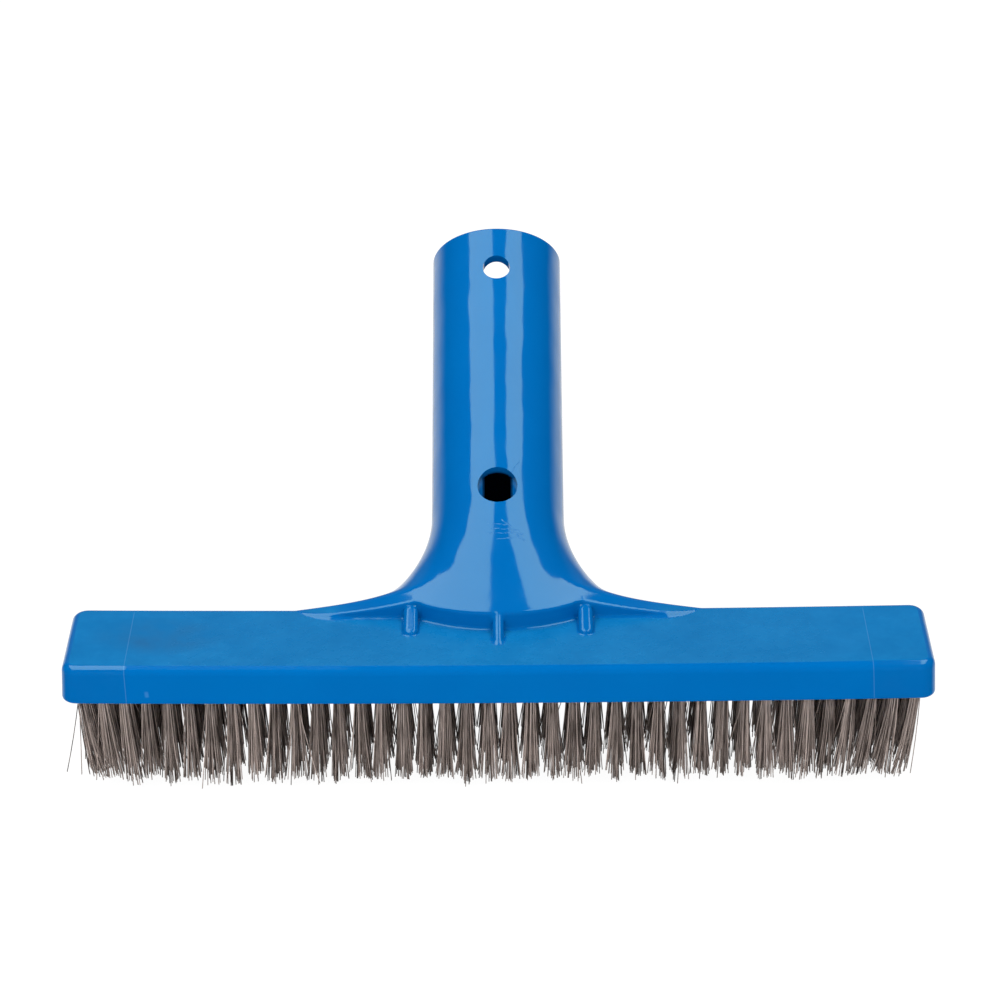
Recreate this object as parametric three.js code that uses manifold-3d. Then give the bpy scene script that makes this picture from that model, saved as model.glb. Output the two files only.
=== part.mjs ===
// Pool wall brush head: a one-piece moulded body with a bristle bar, a flared neck and an angled
// pole socket, and 200 wire tufts set in blind holes under the bar.
//
// Millimetres. +X runs along the bar, +Y points to the back (the way the socket leans), +Z is up.
// Everything is drawn around the middle of the bristle tips. The finished brush is then moved so
// that the origin is the centre of its footprint, on the plane that the bristle tips touch.

import * as THREE from 'three';
import { mergeGeometries, mergeVertices } from 'three/addons/utils/BufferGeometryUtils.js';
import Module from 'manifold-3d';

const wasm = await Module();
wasm.setup();

// ---- Driving dimensions ---------------------------------------------------------------------

const bristleLength = 27;

const bar = {
  length: 254,
  depth: 38.4,
  height: 11.8,
  draft: 0.5,
  cornerRadius: 4.5,
  topFillet: 2.5,
  bottomFillet: 1.2,
};

const tufts = {
  columns: 40,
  columnPitch: 6.25,
  rows: 5,
  rowPitch: 6,
  rootRadius: 1.5,
  tipRadius: 3.4,
  holeRadius: 1.8,
  holeDepth: 8.6,
  rootGap: 0.3,
  sides: 6,
};

// The socket's own frame has +Z along its axis, towards the open end, and -Y towards the front.
const socket = {
  tilt: THREE.MathUtils.degToRad(55.5),
  outerRadius: 20.1,
  boreRadius: 16.5,
  length: 134.5,
  poleDepth: 72,
  creaseBehindFront: 24.1,
  creaseHeight: 5.9,
  sides: 48,
};

// Below the pole stop the moulding is cored out by a narrow slot instead of the round bore.
const slot = { width: 8.6, front: -16.5, back: 8, bottom: 26 };

const clipHole = { radius: 4.2, belowRim: 14.6 };
const drainHole = { radius: 6, belowRim: 92, depth: 4 };

// The neck widens from the socket's circle into a flat trumpet. It is widest inside the bar.
const neck = { top: 40, bottom: -16, flareWidth: 21, flarePower: 1.9, undersideRise: 8 };

// The foot is the raised step on top of the bar that the neck grows out of. It has two lobes, each
// with a shallow front arc and a cove along it: long wings, and a chin that bulges out between them.
const foot = { ridgeSlope: 0.14, sunk: 3, belowNeck: 0.6 };
const wings = { halfWidth: 61, bulge: 3.5, sidesBehindFront: 35.5, cove: 4 };
const chin = { halfWidth: 26, bulge: 5.5, sidesBehindFront: 28.5, cove: 5.6 };

// Gusset ribs run from the bar top up to the foot's wall: two outer ones and a narrower middle one.
const outerRib = { spacing: 26, width: 4.6, wallBehindFront: 31.5, reach: 12.5 };
const middleRib = { width: 3.4, wallBehindFront: 23, reach: 9 };
const ribOverlap = 3;

// ---- Derived positions ----------------------------------------------------------------------

const barBottom = bristleLength;
const barTop = barBottom + bar.height;
const barFront = -bar.depth / 2 + bar.draft;
const barBack = -barFront;
const poleStop = socket.length - socket.poleDepth;
const overcut = 1;

// The socket's axis starts one outer radius below the crease where neck and foot meet.
const creaseY = barFront + socket.creaseBehindFront;
const creaseZ = barTop + socket.creaseHeight;
const socketFrame = new THREE.Matrix4()
  .makeRotationX(-socket.tilt)
  .setPosition(
    0,
    creaseY + socket.outerRadius * Math.cos(socket.tilt),
    creaseZ - socket.outerRadius * Math.sin(socket.tilt),
  );

// ---- Solids from geometries -----------------------------------------------------------------

function toSolid(geometry) {
  const bare = geometry.clone();
  bare.deleteAttribute('normal');
  bare.deleteAttribute('uv');
  const merged = mergeVertices(bare, 1e-4);
  return new wasm.Manifold(new wasm.Mesh({
    numProp: 3,
    vertProperties: new Float32Array(merged.attributes.position.array),
    triVerts: new Uint32Array(merged.index.array),
  }));
}

function toGeometry(solid) {
  const mesh = solid.getMesh();
  const geometry = new THREE.BufferGeometry();
  geometry.setAttribute('position', new THREE.BufferAttribute(mesh.vertProperties, 3));
  geometry.setIndex(new THREE.BufferAttribute(mesh.triVerts, 1));
  geometry.computeVertexNormals();
  return geometry;
}

// A closed skin over a stack of convex rings that all have the same number of points, each ring
// running anticlockwise when seen from the last one.
function loft(rings) {
  const count = rings[0].length;
  const last = (rings.length - 1) * count;
  const index = [];
  for (let ring = 0; ring + 1 < rings.length; ring += 1) {
    for (let i = 0; i < count; i += 1) {
      const low = ring * count;
      const next = (i + 1) % count;
      index.push(low + i, low + next, low + count + next);
      index.push(low + i, low + count + next, low + count + i);
    }
  }
  for (let i = 1; i + 1 < count; i += 1) {
    index.push(0, i + 1, i);
    index.push(last, last + i, last + i + 1);
  }
  const geometry = new THREE.BufferGeometry().setFromPoints(rings.flat());
  geometry.setIndex(index);
  return geometry;
}

function cylinder(radius, length, sides) {
  return new THREE.CylinderGeometry(radius, radius, length, sides).rotateX(Math.PI / 2);
}

// A shape drawn in the side view, as (y, z) points, given a width along X and centred on it.
function sideProfile(points, width) {
  const shape = new THREE.Shape(points.map(([y, z]) => new THREE.Vector2(y, z)));
  const geometry = new THREE.ExtrudeGeometry(shape, { depth: width, bevelEnabled: false });
  geometry.translate(0, 0, -width / 2);
  const toSideView = new THREE.Matrix4().set(0, 0, 1, 0, 1, 0, 0, 0, 0, 1, 0, 0, 0, 0, 0, 1);
  return geometry.applyMatrix4(toSideView);
}

// ---- Bar ------------------------------------------------------------------------------------

function roundedRectangle(halfLength, halfDepth, radius, z) {
  const shape = new THREE.Shape();
  const x = halfLength - radius;
  const y = halfDepth - radius;
  shape.absarc(x, y, radius, 0, Math.PI / 2);
  shape.absarc(-x, y, radius, Math.PI / 2, Math.PI);
  shape.absarc(-x, -y, radius, Math.PI, 1.5 * Math.PI);
  shape.absarc(x, -y, radius, 1.5 * Math.PI, 2 * Math.PI);
  const points = shape.extractPoints(5).shape;
  return points.map((p) => new THREE.Vector3(p.x, p.y, z));
}

function barRing(z, inset) {
  const drafted = bar.draft * (z - barBottom) / bar.height + inset;
  const halfLength = bar.length / 2 - drafted;
  const halfDepth = bar.depth / 2 - drafted;
  return roundedRectangle(halfLength, halfDepth, bar.cornerRadius - inset, z);
}

function barSolid() {
  const rings = [];
  for (const angle of [0, 45, 90]) {
    const turn = THREE.MathUtils.degToRad(angle);
    const fillet = bar.bottomFillet;
    rings.push(barRing(barBottom + fillet * (1 - Math.cos(turn)), fillet * (1 - Math.sin(turn))));
  }
  for (const angle of [0, 30, 60, 90]) {
    const turn = THREE.MathUtils.degToRad(angle);
    const fillet = bar.topFillet;
    rings.push(barRing(barTop - fillet * (1 - Math.sin(turn)), fillet * (1 - Math.cos(turn))));
  }
  return toSolid(loft(rings));
}

// ---- Foot -----------------------------------------------------------------------------------

// The front arc of a lobe in plan, from its left end to its right end.
function lobeArc(lobe, grow) {
  const bulge = lobe.bulge + grow;
  const half = lobe.halfWidth + grow / 2;
  const arcRadius = (half ** 2 + bulge ** 2) / (2 * bulge);
  const centreY = barFront + lobe.sidesBehindFront - bulge + arcRadius;
  const segments = 16;
  const points = [];
  for (let i = 0; i <= segments; i += 1) {
    const x = half * (2 * i / segments - 1);
    points.push(new THREE.Vector2(x, centreY - Math.sqrt(arcRadius ** 2 - x ** 2)));
  }
  return points;
}

function lobeRing(lobe, z, grow) {
  const arc = lobeArc(lobe, grow);
  const half = arc[arc.length - 1].x;
  const outline = [...arc, new THREE.Vector2(half, barBack), new THREE.Vector2(-half, barBack)];
  return outline.map((p) => new THREE.Vector3(p.x, p.y, z));
}

// A lobe's wall stands on a quarter-round cove, so its rings shrink back as they rise.
function lobeSolid(lobe) {
  const rings = [lobeRing(lobe, barTop - foot.sunk, lobe.cove)];
  for (const angle of [0, 30, 60, 90]) {
    const turn = THREE.MathUtils.degToRad(angle);
    const rise = lobe.cove * (1 - Math.cos(turn));
    rings.push(lobeRing(lobe, barTop + rise, lobe.cove * (1 - Math.sin(turn))));
  }
  rings.push(lobeRing(lobe, barTop + foot.ridgeSlope * wings.halfWidth, 0));
  return toSolid(loft(rings));
}

// The foot's top falls away from the middle towards both wing tips.
function underRidge() {
  const reach = wings.halfWidth + wings.cove;
  const outline = new THREE.Shape([
    new THREE.Vector2(-reach, barTop),
    new THREE.Vector2(-reach, barTop - foot.sunk),
    new THREE.Vector2(reach, barTop - foot.sunk),
    new THREE.Vector2(reach, barTop),
    new THREE.Vector2(wings.halfWidth, barTop),
    new THREE.Vector2(0, barTop + foot.ridgeSlope * wings.halfWidth),
    new THREE.Vector2(-wings.halfWidth, barTop),
  ]);
  const prism = new THREE.ExtrudeGeometry(outline, { depth: 2 * bar.depth, bevelEnabled: false });
  return toSolid(prism.rotateX(Math.PI / 2).translate(0, bar.depth, 0));
}

function footSolid() {
  const lobes = lobeSolid(wings).add(lobeSolid(chin));
  return lobes.intersect(underRidge()).intersect(underNearSurface());
}

// Everything below a plane just under the front of the socket, so that the top of the foot rises
// towards the back at the socket's own slope.
function underNearSurface() {
  const size = 2 * bar.length;
  const block = new THREE.BoxGeometry(size, size, size);
  block.translate(0, size / 2 - socket.outerRadius + foot.belowNeck, 0);
  return toSolid(block.applyMatrix4(socketFrame));
}

// ---- Neck and socket ------------------------------------------------------------------------

// Half the neck's width along X at a distance s up the socket's axis.
function neckHalfWidth(s) {
  const down = THREE.MathUtils.clamp((neck.top - s) / neck.top, 0, 1);
  return socket.outerRadius + neck.flareWidth * down ** neck.flarePower;
}

function ellipseRing(halfWidth, s) {
  const ring = [];
  for (let i = 0; i < socket.sides; i += 1) {
    const turn = 2 * Math.PI * i / socket.sides;
    ring.push(new THREE.Vector3(halfWidth * Math.cos(turn), socket.outerRadius * Math.sin(turn), s));
  }
  return ring;
}

function neckSolid() {
  const steps = 11;
  const rings = [];
  for (let i = 0; i <= steps; i += 1) {
    const s = THREE.MathUtils.lerp(neck.bottom, neck.top, i / steps);
    rings.push(ellipseRing(neckHalfWidth(s), s));
  }
  rings.push(ellipseRing(socket.outerRadius, socket.length));
  const trumpet = toSolid(loft(rings).applyMatrix4(socketFrame));
  return trumpet.intersect(behindFoot()).intersect(aboveUnderside());
}

// The space behind the foot's front wall, which the neck does not cross.
function behindFoot() {
  const wingFront = barFront + wings.sidesBehindFront - wings.bulge;
  const outline = new THREE.Shape([
    new THREE.Vector2(-bar.length, wingFront),
    new THREE.Vector2(-chin.halfWidth, wingFront),
    ...lobeArc(chin, 0),
    new THREE.Vector2(chin.halfWidth, wingFront),
    new THREE.Vector2(bar.length, wingFront),
    new THREE.Vector2(bar.length, bar.length),
    new THREE.Vector2(-bar.length, bar.length),
  ]);
  return toSolid(new THREE.ExtrudeGeometry(outline, { depth: bar.length, bevelEnabled: false }));
}

// The neck's underside rises towards the back from the bar's lower back edge.
function aboveUnderside() {
  const reach = 2 * bar.length;
  const edgeY = barBack - bar.bottomFillet;
  const edgeZ = barBottom + bar.bottomFillet;
  const rise = Math.tan(THREE.MathUtils.degToRad(neck.undersideRise));
  return toSolid(sideProfile([
    [-reach, edgeZ],
    [edgeY, edgeZ],
    [reach, edgeZ + rise * (reach - edgeY)],
    [reach, reach],
    [-reach, reach],
  ], reach));
}

function boreSolid() {
  const bore = cylinder(socket.boreRadius, socket.poleDepth + overcut, socket.sides);
  bore.translate(0, 0, poleStop + (socket.poleDepth + overcut) / 2);
  const slotLength = poleStop + overcut - slot.bottom;
  const slotBox = new THREE.BoxGeometry(slot.width, slot.back - slot.front, slotLength);
  slotBox.translate(0, (slot.back + slot.front) / 2, slot.bottom + slotLength / 2);
  return toSolid(bore).add(toSolid(slotBox));
}

// A hole drilled square to the socket's axis, into the front wall only or through both walls.
function crossHole(hole, depth) {
  const drill = cylinder(hole.radius, depth + overcut, 24).rotateX(Math.PI / 2);
  drill.translate(0, -socket.outerRadius + (depth - overcut) / 2, socket.length - hole.belowRim);
  return toSolid(drill);
}

function socketHollows() {
  const clip = crossHole(clipHole, 2 * socket.outerRadius + overcut);
  const drain = crossHole(drainHole, drainHole.depth);
  return boreSolid().add(clip).add(drain).transform(socketFrame.elements);
}

// ---- Gusset ribs ----------------------------------------------------------------------------

function ribSolid(rib, x) {
  const wall = barFront + rib.wallBehindFront;
  const ridge = foot.ridgeSlope * (wings.halfWidth - Math.abs(x));
  const top = barTop + Math.min(socket.creaseHeight, ridge);
  const wedge = sideProfile([
    [wall - rib.reach, barTop],
    [wall - rib.reach, barTop - foot.sunk],
    [wall + ribOverlap, barTop - foot.sunk],
    [wall + ribOverlap, top],
    [wall, top],
  ], rib.width);
  return toSolid(wedge.translate(x, 0, 0));
}

// ---- Tufts ----------------------------------------------------------------------------------

function centred(index, count, pitch) {
  return (index - (count - 1) / 2) * pitch;
}

function anchorHoles() {
  const holes = [];
  for (let column = 0; column < tufts.columns; column += 1) {
    for (let row = 0; row < tufts.rows; row += 1) {
      const hole = cylinder(tufts.holeRadius, tufts.holeDepth + overcut, tufts.sides);
      const x = centred(column, tufts.columns, tufts.columnPitch);
      const y = centred(row, tufts.rows, tufts.rowPitch);
      holes.push(hole.translate(x, y, barBottom + (tufts.holeDepth - overcut) / 2));
    }
  }
  return toSolid(mergeGeometries(holes));
}

// One bundle of wires: a straight folded root in its hole, then a flare to the loose tips.
function tuftGeometry() {
  const rootTop = barBottom + tufts.holeDepth - tufts.rootGap;
  const profile = [
    new THREE.Vector2(0, 0),
    new THREE.Vector2(tufts.tipRadius, 0),
    new THREE.Vector2(tufts.rootRadius, barBottom),
    new THREE.Vector2(tufts.rootRadius, rootTop),
    new THREE.Vector2(0, rootTop),
  ];
  return new THREE.LatheGeometry(profile, tufts.sides).rotateX(Math.PI / 2);
}

// The five tufts of one column, whose flared tips run into each other from front to back.
function tuftColumnGeometry() {
  let column = null;
  for (let row = 0; row < tufts.rows; row += 1) {
    const tuft = toSolid(tuftGeometry().translate(0, centred(row, tufts.rows, tufts.rowPitch), 0));
    column = column ? column.add(tuft) : tuft;
  }
  return toGeometry(column);
}

// ---- Assembly -------------------------------------------------------------------------------

const bluePlastic = new THREE.MeshStandardMaterial({
  name: 'blue_plastic', color: 0x0a6fc0, roughness: 0.28, metalness: 0,
});
const stainlessWire = new THREE.MeshStandardMaterial({
  name: 'stainless_wire', color: 0x85766f, roughness: 0.45, metalness: 0.9,
});

function bodyGeometry() {
  const ribs = ribSolid(middleRib, 0)
    .add(ribSolid(outerRib, -outerRib.spacing))
    .add(ribSolid(outerRib, outerRib.spacing));
  const solid = barSolid().add(footSolid()).add(neckSolid()).add(ribs);
  return toGeometry(solid.subtract(socketHollows()).subtract(anchorHoles()));
}

const brush = new THREE.Group();

const body = new THREE.Mesh(bodyGeometry(), bluePlastic);
body.name = 'brush_body';
brush.add(body);

const columnGeometry = tuftColumnGeometry();
for (let index = 0; index < tufts.columns; index += 1) {
  const column = new THREE.Mesh(columnGeometry, stainlessWire);
  column.name = `tuft_column_${String(index + 1).padStart(2, '0')}`;
  column.position.x = centred(index, tufts.columns, tufts.columnPitch);
  brush.add(column);
}

// The origin goes to the centre of the footprint.
const extent = new THREE.Box3().setFromObject(brush);
brush.position.y = -(extent.min.y + extent.max.y) / 2;

export default brush;
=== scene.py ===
import math

import bpy
import numpy as np
from mathutils import Matrix, Vector


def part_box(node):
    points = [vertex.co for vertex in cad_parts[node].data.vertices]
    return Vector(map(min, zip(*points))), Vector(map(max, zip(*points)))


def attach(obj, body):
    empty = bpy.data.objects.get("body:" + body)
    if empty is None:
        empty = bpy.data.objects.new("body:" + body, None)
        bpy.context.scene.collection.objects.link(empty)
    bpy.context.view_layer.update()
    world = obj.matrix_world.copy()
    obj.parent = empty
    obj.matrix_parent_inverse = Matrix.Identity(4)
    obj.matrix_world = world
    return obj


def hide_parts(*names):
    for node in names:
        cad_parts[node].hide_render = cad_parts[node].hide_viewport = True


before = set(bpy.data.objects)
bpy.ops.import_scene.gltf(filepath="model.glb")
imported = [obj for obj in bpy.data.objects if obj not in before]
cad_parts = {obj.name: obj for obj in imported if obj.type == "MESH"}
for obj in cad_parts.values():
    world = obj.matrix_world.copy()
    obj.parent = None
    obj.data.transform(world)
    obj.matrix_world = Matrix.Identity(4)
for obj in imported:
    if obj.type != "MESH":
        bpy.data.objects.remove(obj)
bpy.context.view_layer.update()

# The model is drawn in millimetres: +X along the bar, +Y to the back, +Z up, and 0 at the middle of
# the bristle tips. Points are moved by MIDDLE_Y and scaled to metres when a mesh is made.
MM = 0.001

# ---- Sizes -------------------------------------------------------------------------------------

# The bar's length and depth, its underside and the tufts' places are read from the CAD frame. The
# other sizes of the bar, the socket and the holes repeat the CAD's own driving sizes.

column_names = sorted(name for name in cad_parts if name.startswith("tuft_column_"))
column_boxes = [np.array([list(corner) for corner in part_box(name)]) / MM for name in column_names]
body_low, body_high = (np.array(corner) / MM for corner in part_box("brush_body"))

MIDDLE_Y = column_boxes[0][:, 1].mean()
HALF_LENGTH = body_high[0]
HALF_DEPTH = MIDDLE_Y - body_low[1]
BAR_BOTTOM = body_low[2]
BAR_HEIGHT = 11.8
BAR_TOP = BAR_BOTTOM + BAR_HEIGHT
DRAFT = 0.5
CORNER_RADIUS = 4.5
TOP_FILLET = 2.5
BOTTOM_FILLET = 1.2
BOW = 0.85
FRONT = -(HALF_DEPTH - DRAFT)
BACK = -FRONT

TILT = math.radians(55.5)
TUBE_RADIUS = 20.1
BORE_RADIUS = 16.5
TUBE_LENGTH = 134.5
POLE_DEPTH = 72.0
CREASE_Y = FRONT + 24.1
CREASE_Z = BAR_TOP + 5.9
AXIS = np.array([0.0, math.sin(TILT), math.cos(TILT)])
NORMAL = np.array([0.0, -math.cos(TILT), math.sin(TILT)])
AXIS_BASE = np.array([0.0, CREASE_Y, CREASE_Z]) - TUBE_RADIUS * NORMAL

ROWS = 5
ROW_PITCH = 6.0
HOLE_RADIUS = 1.8
HOLE_DEPTH = 8.6

# The narrow slot below the pole stop, around the socket's axis.
SLOT_HALF = 4.3
SLOT_LOW = 26.0
SLOT_FRONT = 16.5
SLOT_BACK = -8.0

CLIP_HOLE_RADIUS = 4.2
CLIP_HOLE_BELOW_RIM = 14.6
LOWER_HOLE_RADIUS = 6.0
LOWER_HOLE_BELOW_RIM = 92.0

# The foot of the neck. These sizes are this shape's own and differ a little from the CAD's. Places
# are behind the bar's front edge and above the bar's top.
NECK_TOP = 40.0
NECK_FLARE = 17.9
CHIN_HALF = 26.0
RIB_SPREAD = 25.8
TONGUE_START = (FRONT + 19.1, BAR_TOP + 0.9)
TONGUE_END = (FRONT + 31.0, BAR_TOP + 4.7)
TONGUE_RADIUS = 2.2
BEAD_START = (FRONT + 15.4, BAR_TOP - 1.1)
BEAD_END = (FRONT + 24.0, BAR_TOP + 3.6)
BEAD_RADIUS = 1.7
RIB_DEPTH = 4.0
WING_TILT = 0.034
WING_TIP = 60.5
WING_CUT = 66.0
UNDERSIDE_RISE = math.radians(8.0)

# How far from the middle the mould's end blocks leave a witness line on the bar.
WITNESS_LINE = 108.2

# ---- Distance functions for the moulded body ---------------------------------------------------


def fillet_union(a, b, radius):
    """Joins two solids, given as distances, with a round fillet in the corner between them."""
    near_a = np.maximum(radius - a, 0.0)
    near_b = np.maximum(radius - b, 0.0)
    return np.maximum(radius, np.minimum(a, b)) - np.hypot(near_a, near_b)


def soft_union(a, b, reach):
    """Joins two solids like fillet_union, but the curve starts and ends without a sudden bend."""
    reach = np.maximum(reach, 0.01)
    near = np.maximum(reach - np.abs(a - b), 0.0) / reach
    return np.minimum(a, b) - near ** 3 * reach / 6.0


def round_cut(a, b, radius):
    """The part that two solids share, with a round edge where their surfaces meet."""
    return -fillet_union(-a, -b, radius)


def smoothstep(low, high, value):
    t = np.clip((value - low) / (high - low), 0.0, 1.0)
    return t * t * (3.0 - 2.0 * t)


def rounded_rectangle(x, y, half_x, half_y, radius):
    qx = np.abs(x) - (half_x - radius)
    qy = np.abs(y) - (half_y - radius)
    outside = np.hypot(np.maximum(qx, 0.0), np.maximum(qy, 0.0))
    return outside + np.minimum(np.maximum(qx, qy), 0.0) - radius


def bar_distance(x, y, z):
    drafted = DRAFT * (z - BAR_BOTTOM) / BAR_HEIGHT
    side = rounded_rectangle(x, y, HALF_LENGTH - drafted, HALF_DEPTH - drafted, CORNER_RADIUS)
    upper = round_cut(side, z - BAR_TOP, TOP_FILLET)
    return round_cut(upper, BAR_BOTTOM - z, BOTTOM_FILLET)


def crease_line(x):
    """How far back the foot's wall stands: a chin in the middle between two straight wings."""
    across = np.abs(x)
    chin = 23.3 + 8.4 * np.minimum(across / CHIN_HALF, 1.1) ** 2.2
    wing = 30.6 + 3.9 * np.maximum((across - 42.0) / 18.0, 0.0) ** 3.5
    share = smoothstep(CHIN_HALF - 4.0, CHIN_HALF, across)
    return FRONT + chin * (1.0 - share) + wing * share


def crease_slope(x):
    """The crease line's slope, which turns a distance along Y into one square to the wall."""
    step = 0.05
    return (crease_line(x + step) - crease_line(x - step)) / (2.0 * step)


def wing_height(x):
    """The wings fall evenly to their tips, and between the outer ribs they stay inside the neck."""
    across = np.abs(x)
    return np.minimum(0.156 * (WING_TIP - across), 1.0 + 0.18 * across)


def neck_half_width(s):
    """Half the neck's width at a place along the socket's axis. It widens below NECK_TOP."""
    down = np.clip((NECK_TOP - s) / NECK_TOP, 0.0, 1.6)
    return TUBE_RADIUS + NECK_FLARE * down ** 1.755


def trumpet_distance(x, y, z):
    """The socket tube, widening sideways into the neck as it nears the bar. Also gives how far its
    surface faces up, from -1 to 1."""
    dy = y - AXIS_BASE[1]
    dz = z - AXIS_BASE[2]
    s = dy * AXIS[1] + dz * AXIS[2]
    across = dy * NORMAL[1] + dz * NORMAL[2]
    half_width = neck_half_width(s)
    level = np.hypot(x / half_width, across / TUBE_RADIUS)
    slope = np.maximum(np.hypot(x / half_width ** 2, across / TUBE_RADIUS ** 2), 1e-4)
    facing_up = across / TUBE_RADIUS ** 2 / slope * NORMAL[2]
    return level * (level - 1.0) / slope, facing_up


def underside_distance(y, z):
    """Positive below the bar's flat underside and the slope that rises behind it under the neck."""
    behind = y - (BACK - BOTTOM_FILLET)
    above = z - BAR_BOTTOM
    return np.maximum(behind * math.sin(UNDERSIDE_RISE) - above * math.cos(UNDERSIDE_RISE), -above)


def rib_frame(y, z, start, end):
    """Distances along and square to a rib whose top runs from start to end, both as (y, z)."""
    run_y = end[0] - start[0]
    run_z = end[1] - start[1]
    length = math.hypot(run_y, run_z)
    along = ((y - start[0]) * run_y + (z - start[1]) * run_z) / length
    over = ((z - start[1]) * run_y - (y - start[0]) * run_z) / length
    return along, over, length


def tongue_distance(x, y, z, centre, start, end, radius):
    """An outer rib: a rounded top and a round front end, like a tongue laid against the wall."""
    along, over, length = rib_frame(y, z, start, end)
    past = along - np.clip(along, radius, length - radius)
    outline = np.hypot(x - centre, past) - radius
    return np.maximum(round_cut(outline, over, 1.5), -RIB_DEPTH - over)


def bead_distance(x, y, z, centre, start, end, radius):
    """A round-topped rib: a capsule from start to end."""
    along, over, length = rib_frame(y, z, start, end)
    past = along - np.clip(along, 0.0, length)
    return np.sqrt((x - centre) ** 2 + past ** 2 + over ** 2) - radius


def wing_distance(x, y, z):
    """The low ridge whose ends are the wings, before the foot's wall is cut."""
    height = wing_height(x) * (1.0 - WING_TILT * np.clip(BACK - y, 0.0, 20.0))
    ridge = round_cut(z - BAR_TOP - height, y - BACK, TOP_FILLET)
    ridge = np.maximum(ridge, np.abs(x) - WING_CUT)
    return np.maximum(ridge, BAR_BOTTOM + 1.5 - z)


def body_distance(x, y, z):
    """The whole outer skin of the moulding. The neck flares into the wings, a wall cuts both off in
    front, a small cove joins the wall to the bar, and three ribs stand against it."""
    behind = y - crease_line(x)
    wall = -behind / np.sqrt(1.0 + crease_slope(x) ** 2)
    underside = underside_distance(y, z)
    trumpet, facing_up = trumpet_distance(x, y, z)
    neck = round_cut(trumpet, underside + 0.3, 5.0)
    flare = (36.0 + 6.0 * smoothstep(2.0, 12.0, behind)) * (1.0 - np.clip(facing_up, 0.0, 1.0))
    flare = flare * smoothstep(BAR_BOTTOM + 1.0, BAR_TOP, z)
    upper = soft_union(wing_distance(x, y, z), neck, flare)
    upper = round_cut(upper, wall, 0.7)
    across = np.abs(x)
    cove = (1.0 + 1.2 * smoothstep(42.0, 52.0, across)) * np.clip((60.0 - across) / 10.0, 0.0, 1.0)
    front_share = 1.0 - smoothstep(0.5, 4.5, behind)
    body = fillet_union(bar_distance(x, y, z), upper, 0.05 + cove * front_share)
    body = np.maximum(body, underside)
    for centre in (-RIB_SPREAD, RIB_SPREAD):
        tongue = tongue_distance(x, y, z, centre, TONGUE_START, TONGUE_END, TONGUE_RADIUS)
        body = fillet_union(body, tongue, 0.5)
    bead = bead_distance(x, y, z, 0.0, BEAD_START, BEAD_END, BEAD_RADIUS)
    return fillet_union(body, bead, 0.7)


# ---- Turning a distance function into a mesh ---------------------------------------------------


def spaced(stops):
    """Grid lines from (position, spacing) stops: each stretch is cut evenly, no wider than asked."""
    lines = [stops[0][0]]
    for (low, step), (high, _) in zip(stops, stops[1:]):
        count = max(1, math.ceil((high - low) / step))
        lines.extend(low + (high - low) * (i + 1) / count for i in range(count))
    return np.array(lines)


CORNERS = [(i, j, k) for i in (0, 1) for j in (0, 1) for k in (0, 1)]
EDGES = [(a, b) for a in range(8) for b in range(a + 1, 8)
         if sum(abs(CORNERS[a][n] - CORNERS[b][n]) for n in range(3)) == 1]


def surface_net(xs, ys, zs, values):
    """Vertices and quads of the zero surface of values on a grid, one vertex in each crossed cell."""
    inside = values < 0.0
    cell = [slice(0, -1), slice(1, None)]
    parts = [inside[cell[i], cell[j], cell[k]] for i, j, k in CORNERS]
    crossed = np.logical_or.reduce(parts) & ~np.logical_and.reduce(parts)
    index = np.argwhere(crossed)
    corner_values = np.stack(
        [values[index[:, 0] + i, index[:, 1] + j, index[:, 2] + k] for i, j, k in CORNERS], 1)
    corner_places = np.stack(
        [np.stack([xs[index[:, 0] + i], ys[index[:, 1] + j], zs[index[:, 2] + k]], 1)
         for i, j, k in CORNERS], 1)
    total = np.zeros((len(index), 3))
    count = np.zeros(len(index))
    for a, b in EDGES:
        va = corner_values[:, a]
        vb = corner_values[:, b]
        hit = (va < 0.0) != (vb < 0.0)
        t = np.where(hit, va / np.where(hit, va - vb, 1.0), 0.0)
        place = corner_places[:, a] + t[:, None] * (corner_places[:, b] - corner_places[:, a])
        total += place * hit[:, None]
        count += hit
    vertices = total / count[:, None]
    number = np.full(crossed.shape, -1, np.int64)
    number[tuple(index.T)] = np.arange(len(index))
    quads = []
    for axis in range(3):
        first = np.moveaxis(inside, axis, 0)
        ids = np.moveaxis(number, axis, 0)
        change = first[:-1] != first[1:]
        change = change[:, 1:-1, 1:-1]
        at = np.argwhere(change)
        i, j, k = at[:, 0], at[:, 1] + 1, at[:, 2] + 1
        quad = np.stack([ids[i, j - 1, k - 1], ids[i, j, k - 1], ids[i, j, k], ids[i, j - 1, k]], 1)
        starts_inside = first[i, j, k]
        flip = ~starts_inside if axis != 1 else starts_inside
        quad[flip] = quad[flip][:, ::-1]
        quads.append(quad)
    return vertices, np.concatenate(quads)


def gradient(distance, points, step=0.01):
    """The slope of a distance function at each point, from small steps along each axis."""
    result = np.empty_like(points)
    for axis in range(3):
        shift = np.zeros(3)
        shift[axis] = step
        ahead = distance(*(points + shift).T)
        behind = distance(*(points - shift).T)
        result[:, axis] = (ahead - behind) / (2.0 * step)
    return result


def onto_surface(distance, points, rounds):
    """Points moved along the slope to where the distance is 0."""
    for _ in range(rounds):
        slope = gradient(distance, points)
        length = np.maximum((slope ** 2).sum(1), 1e-6)
        offset = distance(*points.T) / length
        points = points - np.clip(offset, -1.0, 1.0)[:, None] * slope
    return points


def relaxed(points, quads):
    """Each point moved halfway to the middle of the points it shares a quad's side with."""
    a = quads.ravel()
    b = np.roll(quads, -1, axis=1).ravel()
    total = np.zeros_like(points)
    for axis in range(3):
        total[:, axis] = (np.bincount(a, points[b, axis], len(points))
                          + np.bincount(b, points[a, axis], len(points)))
    count = np.bincount(a, minlength=len(points)) + np.bincount(b, minlength=len(points))
    return 0.5 * points + 0.5 * total / count[:, None]


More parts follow.
